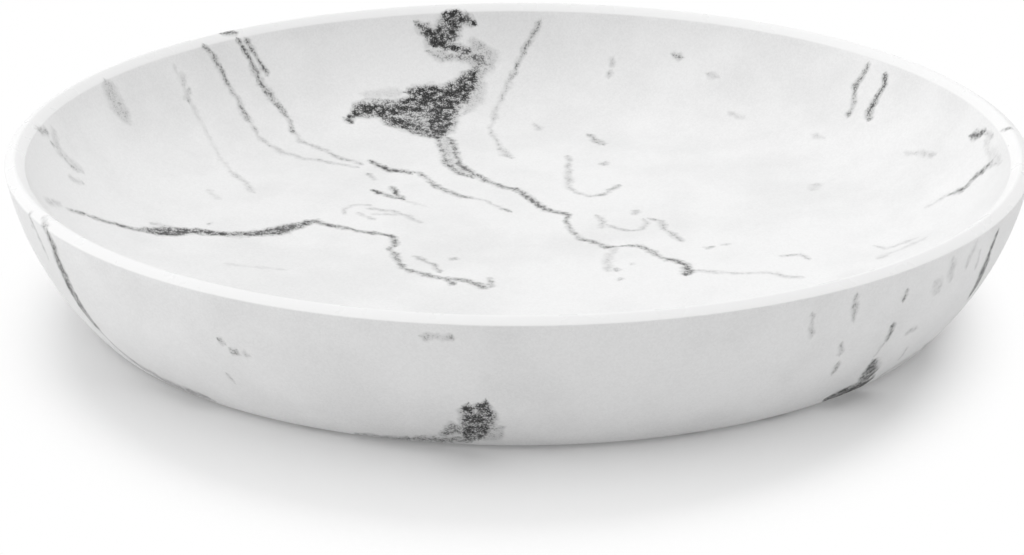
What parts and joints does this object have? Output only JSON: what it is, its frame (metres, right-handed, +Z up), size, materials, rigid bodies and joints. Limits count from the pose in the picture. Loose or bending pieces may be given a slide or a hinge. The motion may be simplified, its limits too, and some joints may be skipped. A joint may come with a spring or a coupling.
{
  "type": "soap dish",
  "caption": "Round shallow soap dish in white marble-look cast resin with grey-black veins, an eased lip and non-slip pads under the base.",
  "frame": {"origin": "on the surface that the dish stands on, under the centre of the round bowl", "axes": "+Z up along the dish's axis of symmetry; the body is round, so X and Y only set the pads, which lie at 45 degrees to them"},
  "size_m": [0.124, 0.124, 0.0188],
  "materials": {
    "cast_resin": "satin",
    "pad_foam": "matte"
  },
  "bodies": {
    "root": {"dish_body": "cast_resin", "foot_pad_1": "pad_foam", "foot_pad_2": "pad_foam", "foot_pad_3": "pad_foam", "foot_pad_4": "pad_foam"}
  },
  "joints": []
}
